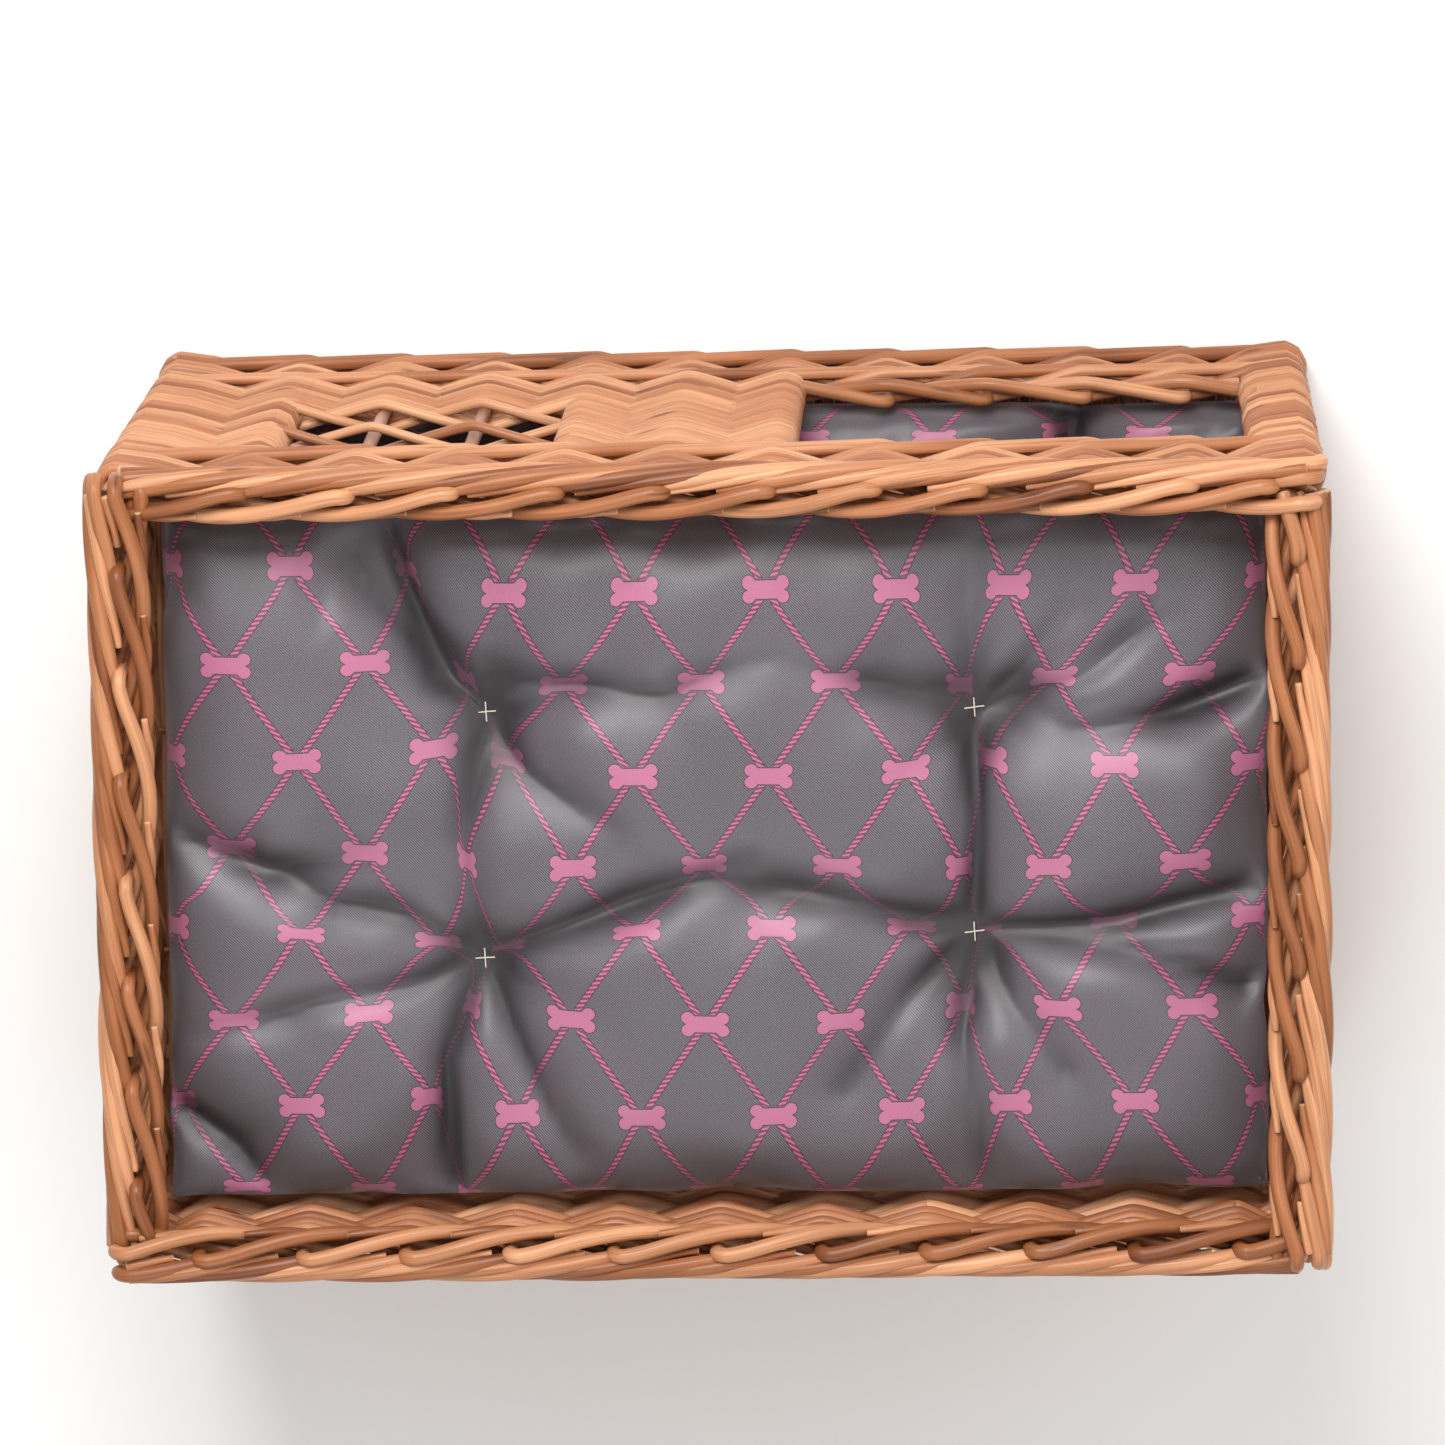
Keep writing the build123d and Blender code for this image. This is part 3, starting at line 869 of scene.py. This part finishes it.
def tucked(flat, plan, tucks):
    """Pattern coordinates of the print. Cloth hidden in a tuck moves the print beyond it."""
    moved = flat.copy()
    for tuck in map(np.array, tucks):
        span = abs(tuck[-1] - tuck[0])
        along = 1 if span[1] > span[0] else 0
        tuck = tuck[np.argsort(tuck[:, along])]
        at, *shift = (np.interp(plan[:, along], tuck[:, along], tuck[:, i])
                      for i in (1 - along, 2, 3))
        side = plan[:, 1 - along] - at
        beyond = side if at.mean() > -0.05 else -side
        moved += np.stack(shift, 1) * smooth_step(beyond / TUCK_WIDTH + 0.5)[:, None]
    return moved


def cushion_form(low, high, shape, tufts):
    """A filled, tufted pillow lying in a box. Returns its points, flat pattern, sheet marks
    and quads, in metres."""
    chance = np.random.RandomState(shape.seed)
    half = (high - low)[:2] / 2 + shape.grow[:2]
    thickness = high[2] - low[2] + shape.grow[2]
    flat_half = half + FLAT_EXTRA
    flat, sheet, quads = pillow_sheets(*flat_half, CLOTH_GRID)
    seam_gap = flat_half - np.abs(flat)
    arc, top_round = shape.edge_arc, shape.top_round
    rolled = top_round * (1 - np.cos(np.clip(seam_gap / arc, 0, 1) * math.pi / 2))
    level = top_round + (seam_gap - arc) * (half - top_round) / (flat_half - arc)
    plan = np.sign(flat) * (half - np.where(seam_gap < arc, rolled, level))
    height = pillow_goal(plan, sheet, half, thickness, shape, tufts)
    plan = np.where((sheet > 0)[:, None], gather(plan, half, shape.folds), plan)
    noise = np.zeros(len(flat))
    for _ in range(40):
        k = chance.uniform(15, 95, 2) * chance.choice([-1, 1], 2)
        noise += np.sin(flat @ k + chance.uniform(0, 6.28)) * 0.0003
    points = np.column_stack([plan, height + np.where(sheet > 0, noise, 0)])
    points = simulated(points, flat, sheet, quads, shape.folds, tufts)
    top = thickness + CROWN_OVER
    share = points[:, 2] / top
    share = np.where(share > 0.8, 0.8 + 0.2 * np.tanh((share - 0.8) / 0.2), share)
    points[:, 2] = np.maximum(share * top, 0.0)
    return points + [*(high + low)[:2] / 2, low[2]], flat, sheet, quads


def simulated(points, flat, sheet, quads, folds, tufts):
    """The pillow's points after its cloth has relaxed round the filling under pressure."""
    pillow = new_piece("cushion_sim", points * SIM_SCALE, quads)
    pillow.shape_key_add(name="start")
    flat_key = pillow.shape_key_add(name="flat")
    rest = np.column_stack([flat, np.zeros(len(flat))]) * SIM_SCALE
    flat_key.data.foreach_set("co", rest.ravel())
    group = pillow.vertex_groups.new(name="hold")
    plan = points[:, :2]
    holds = [(sheet == mark, hold) for mark, hold in HOLDS]
    holds += [(np.linalg.norm(plan - tuft, axis=1) < CLOTH_GRID * 1.1, 1.0) for tuft in tufts]
    holds += [((distance_to_line(plan, line)[0] < width * 0.6) & (sheet > 0), FOLD_HOLD)
              for _, width, *line in folds]
    for held, hold in holds:
        group.add(np.nonzero(held)[0].tolist(), hold, "REPLACE")
    cloth = pillow.modifiers.new("Cloth", "CLOTH")
    for key, value in CLOTH.items():
        setattr(cloth.settings, key, value)
    cloth.settings.rest_shape_key = flat_key
    cloth.settings.effector_weights.gravity = 0.0
    cloth.collision_settings.use_collision = False
    cloth.collision_settings.use_self_collision = False
    cloth.point_cache.frame_start = 1
    cloth.point_cache.frame_end = SIM_FRAMES
    for frame_number in range(1, SIM_FRAMES + 1):
        bpy.context.scene.frame_set(frame_number)
    result = pillow.evaluated_get(bpy.context.evaluated_depsgraph_get()).to_mesh()
    co = np.zeros(len(result.vertices) * 3)
    result.vertices.foreach_get("co", co)
    bpy.data.objects.remove(pillow)
    bpy.context.scene.frame_set(1)
    return co.reshape(-1, 3) / SIM_SCALE


def filling_form(points, flat):
    """The filling: a closed form that lies inside the cover all round."""
    size = [len(np.unique(flat[:, i].round(6))) for i in (0, 1)]
    count = size[0] * size[1]
    top = points[:count].reshape(*size, 3)
    bottom = top.copy()
    bottom[1:-1, 1:-1] = points[count:].reshape(size[0] - 2, size[1] - 2, 3)
    inner = slice(FILLING_CELLS, -FILLING_CELLS)
    top, bottom = top[inner, inner], bottom[inner, inner]
    middle = (top + bottom) / 2
    _, place, quads = pillow_sheets(*(np.array(top.shape[:2]) - 1) / 2, 1.0)
    upper, lower = (middle + (side - middle) * FILLING_SHARE for side in (top, bottom))
    over = np.where((place[place >= 0] > 0)[:, None], upper.reshape(-1, 3), middle.reshape(-1, 3))
    return np.vstack([over, lower[1:-1, 1:-1].reshape(-1, 3)]), quads


def painted_fold_shade(points, sheet, quads):
    """How much painted shade each point of the top sheet gets for lying deep in a fold, from 0 on
    the puffs up.
    """
    ends = np.vstack([quads[:, [i, (i + 1) % 4]] for i in range(4)])
    ends = np.vstack([ends, ends[:, ::-1]])
    count = np.bincount(ends[:, 0], minlength=len(points))
    around = points[:, 2].copy()
    for _ in range(FOLD_BLUR):
        total = np.bincount(ends[:, 0], weights=around[ends[:, 1]], minlength=len(points))
        around = total / count
    return np.clip((around - points[:, 2]) / FOLD_FULL, 0, 1) * FOLD_SHADE * (sheet > 0)


def cross_stitch(rods, face, mark, centre, arm):
    """Two short crossed threads that lie on a face of the cover where it is tied down."""
    for angle in np.radians((4, 93)):
        reach = np.linspace(-arm, arm, 9)
        line = centre + reach[:, None] * np.array([np.cos(angle), np.sin(angle)])
        gap = np.linalg.norm(face[None, :, :2] - line[:, None], axis=2)
        order = np.argsort(gap, axis=1)[:, :6]
        weight = 1 / (np.take_along_axis(gap, order, 1) + 1e-4)
        z = (face[:, 2][order] * weight).sum(1) / weight.sum(1)
        z = smoothed(z, 2) + mark * STITCH_R * 1.6
        rods.add(np.column_stack([line, z]), STITCH_R, sides=6)


def stitches(points, sheet, tufts):
    """The ties: a cross on each face and the thread that pulls them together."""
    rods = RodWork()
    for centre in tufts:
        ends = []
        for mark, arm in ((1, STITCH_ARM), (-1, STITCH_ARM * 0.8)):
            face = points[sheet == mark]
            cross_stitch(rods, face, mark, centre, arm)
            ends.append(face[np.linalg.norm(face[:, :2] - centre, axis=1).argmin(), 2])
        top, bottom = ends
        path = [[*centre, z] for z in (bottom, (bottom + top) / 2, top)]
        rods.add(path, STITCH_R, sides=6, face_to=(1, 0, 0))
    return rods


def make_cushion(body, shape, cover_material, filling_material, tie_material):
    """A tufted cushion: its cover, its filling and the ties through both."""
    low, high = map(np.array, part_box(body + "_cover"))
    centre = (low + high)[:2] / 2
    corner = np.array(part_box(body + "_ties")[1])[:2] - TIE_R
    places = [corner * (sx, sy) for sy in (-1, 1) for sx in (1, -1)]
    tufts = [place + drift - centre for place, drift in zip(places, shape.drift)]
    points, flat, sheet, quads = cushion_form(low, high, shape, tufts)
    printed = tucked(flat + shape.print_move, points[:, :2] - centre, shape.tucks)
    limit = np.array([LINE_X, LINE_Y]) - WALL_CLEAR
    points[:, :2] = np.clip(points[:, :2], -limit, limit)
    # The cover's fold attribute carries painted shade for its folds
    cover = new_piece(body + "_fabric", points, quads, cover_material,
                      print=np.column_stack([printed, np.zeros(len(flat))]),
                      fold=painted_fold_shade(points, sheet, quads))
    rounded = cover.modifiers.new("rounded", "SUBSURF")
    rounded.levels = rounded.render_levels = 1
    assign(cover, body, body + "_cover")
    wadding = new_piece(body + "_wadding", *filling_form(points, flat), filling_material)
    assign(wadding, body, body + "_filling")
    ties = stitches(points, sheet, [tuft + centre for tuft in tufts])
    assign(ties.build(body + "_stitches", tie_material), body, body + "_ties")


# --- Materials ---

def linear(colour):
    """An sRGB colour in 0 to 255 as the renderer's linear colour."""
    values = [c / 255 for c in colour]
    values = [v / 12.92 if v <= 0.04045 else ((v + 0.055) / 1.055) ** 2.4 for v in values]
    return (*values, 1.0)


class Nodes:
    """Short hand for building a material's node tree."""

    def __init__(self, name):
        self.material = bpy.data.materials.new(name)
        self.material.use_nodes = True
        self.tree = self.material.node_tree
        self.tree.nodes.clear()
        self.shader = self.add("BsdfPrincipled")
        self.add("OutputMaterial", {0: self.shader.outputs[0]})

    def add(self, kind, inputs=(), **settings):
        node = self.tree.nodes.new("ShaderNode" + kind)
        for key, value in settings.items():
            setattr(node, key, value)
        for key, value in dict(inputs).items():
            self.put(value, node.inputs[key])
        return node

    def put(self, value, socket):
        if hasattr(value, "is_output"):
            self.tree.links.new(value, socket)
        else:
            socket.default_value = value

    def set(self, **inputs):
        """Sets the shader's inputs; an underscore stands for a space."""
        for key, value in inputs.items():
            self.put(value, self.shader.inputs[key.replace("_", " ")])

    def position(self):
        return self.add("NewGeometry").outputs["Position"]

    def attribute(self, name, output="Fac"):
        return self.add("Attribute", attribute_name=name).outputs[output]

    def maths(self, operation, *values):
        return self.add("Math", enumerate(values), operation=operation).outputs[0]

    def scaled(self, vector, *scale):
        return self.add("VectorMath", ((0, vector), (1, scale)), operation="MULTIPLY").outputs[0]

    def step(self, value, low, high):
        """0 at low and 1 at high, smooth between them."""
        inputs = {"Value": value, "From Min": low, "From Max": high}
        return self.add("MapRange", inputs, interpolation_type="SMOOTHSTEP").outputs[0]

    def inside(self, distance, edge):
        """1 where a distance is less than edge."""
        return self.step(distance, edge + 0.0001, edge - 0.0001)

    def from_middle(self, turns):
        """How far a count of turns is from the middle of its turn."""
        return self.maths("ABSOLUTE", self.maths("SUBTRACT", self.maths("FRACT", turns), 0.5))

    def noise(self, vector, scale=1.0, detail=2.0, roughness=0.5):
        inputs = {"Vector": vector, "Scale": scale, "Detail": detail, "Roughness": roughness}
        return self.add("TexNoise", inputs).outputs["Fac"]

    def ramp(self, value, *stops):
        node = self.add("ValToRGB", {0: value})
        elements = node.color_ramp.elements
        while len(elements) < len(stops):
            elements.new(0.5)
        for element, (place, colour) in zip(elements, stops):
            element.position = place
            element.color = linear(colour)
        return node.outputs[0]

    def mix(self, factor, a, b, blend="MIX"):
        """Mixes two colours, each a socket or an sRGB colour."""
        a, b = (linear(c) if isinstance(c, tuple) else c for c in (a, b))
        inputs = {0: factor, 6: a, 7: b}
        return self.add("Mix", inputs, data_type="RGBA", blend_type=blend).outputs[2]

    def bumps(self, *layers):
        """A normal bumped by layers of (height, strength, distance)."""
        normal = {}
        for height, strength, distance in layers:
            inputs = {"Strength": strength, "Distance": distance, "Height": height, **normal}
            normal = {"Normal": self.add("Bump", inputs).outputs[0]}
        return normal["Normal"]


def willow(name, dark, middle, pale, gloss=0.40):
    """Buff willow: a colour of its own for every rod, fine streaks along the grain, slow
    patches, small dark leaf knots and pale pith on cut ends."""
    n = Nodes(name)
    grain = n.attribute("grain", "Vector")
    streaks = n.noise(n.scaled(grain, 16, 900, 900), detail=3.0, roughness=0.6)
    bands = n.noise(n.scaled(grain, 6, 190, 190))
    patches = n.noise(n.scaled(grain, 13, 70, 70))
    wide = n.noise(n.position(), scale=6.0)
    shade = n.maths("MULTIPLY_ADD", n.attribute("tint"), 0.46, -0.18)
    for value, share in ((patches, 0.48), (bands, 0.26), (wide, 0.26)):
        shade = n.maths("MULTIPLY_ADD", value, share, shade)
    colour = n.ramp(shade, (0.16, dark), (0.48, middle), (0.82, pale))
    cells = n.add("TexVoronoi", {"Vector": n.scaled(grain, 15, 100, 100), "Scale": 1.0})
    knot = n.step(cells.outputs["Distance"], 0.16, 0.05)
    fibre = tuple(c * 0.66 for c in dark)
    for mask, share, top in ((n.step(streaks, 0.62, 0.30), 0.30, fibre),
                             (knot, 0.60, KNOT_COLOUR), (n.attribute("cut"), 0.70, PITH_COLOUR)):
        colour = n.mix(n.maths("MULTIPLY", mask, share), colour, top)
    n.set(Base_Color=colour, Roughness=n.maths("MULTIPLY_ADD", streaks, 0.24, gloss - 0.10),
          Specular_IOR_Level=0.35,
          Normal=n.bumps((streaks, 0.35, 0.0005), (bands, 0.30, 0.0012), (knot, 0.35, 0.0006)))
    return n.material


def lattice_point(n, u, v, shift):
    """Distance in each direction from the nearest point of one half of the print's lattice."""
    half = []
    for value, period, phase in zip((u, v), (PRINT_PERIOD, 2 * PRINT_ROW), PRINT_PHASE):
        turns = n.maths("MULTIPLY_ADD", value, 1 / period, 100.5 + shift - phase / period)
        half.append(n.maths("MULTIPLY", n.from_middle(turns), period))
    return half


def bone(n, x, y):
    """Signed distance from a bone's outline: a bar with a knob at each corner."""
    ends, sides = n.maths("SUBTRACT", x, BONE_LENGTH / 2), n.maths("SUBTRACT", y, BONE_BAR / 2)
    dx, dy = n.maths("SUBTRACT", x, BONE_KNOB[0]), n.maths("SUBTRACT", y, BONE_KNOB[1])
    square = n.maths("MULTIPLY_ADD", dx, dx, n.maths("MULTIPLY", dy, dy))
    knob = n.maths("SUBTRACT", n.maths("SQRT", square), BONE_KNOB[2])
    return n.maths("SMOOTH_MIN", n.maths("MAXIMUM", ends, sides), knob, 0.0010)


def rope(n, u, v, sign):
    """Distance from the middle of the nearest rope of one slant, and its twisted stripes."""
    long_way = math.hypot(PRINT_PERIOD / 2, PRINT_ROW)
    turns = n.maths("MULTIPLY", u, 1 / PRINT_PERIOD)
    turns = n.maths("MULTIPLY_ADD", v, -sign / (2 * PRINT_ROW), turns)
    start = 100.5 - PRINT_PHASE[0] / PRINT_PERIOD + sign * PRINT_PHASE[1] / (2 * PRINT_ROW)
    middle = n.from_middle(n.maths("ADD", turns, start))
    distance = n.maths("MULTIPLY", middle, PRINT_PERIOD * PRINT_ROW / long_way)
    slant = -0.17 if sign > 0 else 0.50
    phase = n.maths("MULTIPLY", u, slant / ROPE_STRIPE)
    phase = n.maths("ADD", n.maths("MULTIPLY_ADD", v, 1 / ROPE_STRIPE, phase), 500.0)
    return distance, n.step(n.from_middle(phase), 0.30, 0.18)


def fabric(name):
    """Grey satin twill printed with a lattice of twisted rope joined by bones, with painted shade
    in its folds.
    """
    n = Nodes(name)
    place = n.attribute("print", "Vector")
    u, v, _ = n.add("SeparateXYZ", {0: place}).outputs
    bones = n.maths("MINIMUM", *(bone(n, *lattice_point(n, u, v, s)) for s in (0.0, 0.5)))
    (first, first_stripe), (second, second_stripe) = (rope(n, u, v, sign) for sign in (1, -1))
    ropes = n.maths("SUBTRACT", n.maths("MINIMUM", first, second), ROPE_WIDTH / 2 - OUTLINE)
    stripe = n.mix(n.maths("LESS_THAN", first, second), second_stripe, first_stripe)
    across = n.maths("MULTIPLY", n.maths("ADD", u, v), 2 * math.pi / (TWILL_PITCH * math.sqrt(2)))
    twill = n.maths("MULTIPLY_ADD", n.maths("SINE", across), 0.5, 0.5)
    threads = n.noise(n.scaled(place, 1100, 1100, 1), detail=1.0)
    ground = n.ramp(n.maths("MULTIPLY_ADD", twill, 0.60, n.maths("MULTIPLY", threads, 0.40)),
                    (0.20, GROUND_DARK), (0.80, GROUND_PALE))
    cloudy = n.maths("MULTIPLY", n.noise(place, scale=9.0), 0.25)
    colour = ground = n.mix(cloudy, ground, GROUND_DARK)
    for form, edge, top in ((ropes, OUTLINE, OUTLINE_COLOUR),
                            (ropes, 0.0, n.mix(stripe, ROPE_DARK, ROPE_PALE)),
                            (bones, BONE_GAP, ground), (bones, OUTLINE, OUTLINE_COLOUR),
                            (bones, 0.0, BONE_COLOUR)):
        colour = n.mix(n.inside(form, edge), colour, top)
    # Painted shade: the cover darkens where it lies deep in a fold
    colour = n.mix(n.attribute("fold"), colour, FOLD_PAINTED_SHADE)
    colour = n.mix(0.22, colour, n.mix(twill, (60, 50, 58), (214, 206, 212)), "SOFT_LIGHT")
    n.set(Base_Color=colour, Roughness=n.maths("MULTIPLY_ADD", threads, 0.12, FABRIC_ROUGHNESS),
          Specular_IOR_Level=0.45, Sheen_Weight=0.12, Sheen_Roughness=0.4,
          Normal=n.bumps((twill, 0.22, 0.00025), (threads, 0.15, 0.0003)))
    return n.material


def speckled(name, dark, pale, dullness, bump=None, stretch=None, **noise):
    """A dull surface speckled by noise over space, or along a thread if stretch is given."""
    n = Nodes(name)
    place = n.scaled(n.attribute("grain", "Vector"), *stretch) if stretch else n.position()
    speckle = n.noise(place, **noise)
    n.set(Base_Color=n.ramp(speckle, (0.3, dark), (0.7, pale)), Roughness=dullness)
    if bump:
        n.set(Normal=n.bumps((speckle, *bump)))
    return n.material


# --- The whole object ---

def finish_rods():
    """Builds the rod work, gives each piece its willow and body, and hides the CAD part of the
    node it stands for.
    """
    finishes = {
        "willow_stake": willow("stake_willow", *STAKE_COLOURS),
        "willow_weaver": willow("weaver_willow", *WEAVER_COLOURS),
        "willow_wale": willow("wale_willow", *WALE_COLOURS),
        "willow_border": willow("border_willow", *BORDER_COLOURS, gloss=0.36),
    }
    # The window's stakes take the greyer, darker willow that paints in their shade
    special = {"window_lattice": willow("lattice_willow", *LATTICE_COLOURS),
               "window_stakes": willow("window_stake_shaded_willow", *SHADED_WINDOW_STAKE_COLOURS)}
    kinds = {"stakes": "willow_stake", "posts": "willow_stake", "sticks": "willow_stake",
             "wale": "willow_wale", "rim": "willow_border", "border": "willow_border"}
    for node, rods in work.items():
        slot = next((slot for kind, slot in kinds.items() if kind in node), "willow_weaver")
        piece = rods.build(node + "_rods", special.get(node, finishes[slot]))
        assign(piece, "basket", node)


weave_walls()
for wale_node, wale_r in WALES.items():
    wale(wale_node, wale_r)
stand_stakes()
weave_rim()
weave_threshold()
weave_lattice()
for mat in MATS:
    weave_mat(*mat)
lay_shelf_sticks()
finish_rods()

cushion_materials = (
    fabric("printed_satin"),
    speckled("wadding", (226, 224, 220), (246, 245, 242), 0.95, (0.6, 0.002),
             scale=160.0, detail=4.0, roughness=0.7),
    speckled("spun_thread", (168, 158, 140), (222, 214, 196), 0.8, (0.5, 0.0003),
             stretch=(900, 4000, 4000)),
)
for cushion, cushion_shape in SHAPES.items():
    make_cushion(cushion, cushion_shape, *cushion_materials)


# --- Floor, light and camera ---

def lay_floor():
    r, z = FLOOR_HALF, cad_low.z - FLOOR_UNDER
    corners = [(-r, -r, z), (r, -r, z), (r, r, z), (-r, r, z)]
    pale = speckled("pale_floor", (240, 239, 237), (244, 243, 241), 0.9, scale=2.0)
    new_piece("floor", corners, [(0, 1, 2, 3)], pale)


def soft_light(name, place, size, power):
    data = bpy.data.lights.new(name, "AREA")
    data.size = size
    data.energy = power
    lamp = new_object(name, data)
    aim = Vector((0, 0, cad_high.z * 0.7)) - Vector(place)
    lamp.location = place
    lamp.rotation_mode = "QUATERNION"
    lamp.rotation_quaternion = aim.to_track_quat("-Z", "Y")


def set_camera():
    """Almost straight down, from a little in front of the basket and to its left."""
    data = bpy.data.cameras.new("camera")
    data.sensor_width = 36
    data.lens = CAMERA_LENS
    camera = new_object("camera", data)
    turn = Euler([math.radians(a) for a in CAMERA_TURN], "XYZ").to_matrix()
    view = turn @ Matrix(((-1, 0, 0), (0, 1, 0), (0, 0, -1)))
    right, below, ahead = view
    camera.rotation_mode = "QUATERNION"
    camera.rotation_quaternion = Matrix((right, -below, -ahead)).transposed().to_quaternion()
    camera.location = -(view.transposed() @ Vector(CAMERA_OFFSET))
    bpy.context.scene.camera = camera


lay_floor()
for light in LIGHTS:
    soft_light(*light)
world = bpy.data.worlds.new("studio")
bpy.context.scene.world = world
world.use_nodes = True
background = world.node_tree.nodes["Background"]
background.inputs["Color"].default_value = (1, 1, 1, 1)
background.inputs["Strength"].default_value = SKY
set_camera()
bpy.context.scene.view_settings.view_transform = "Standard"
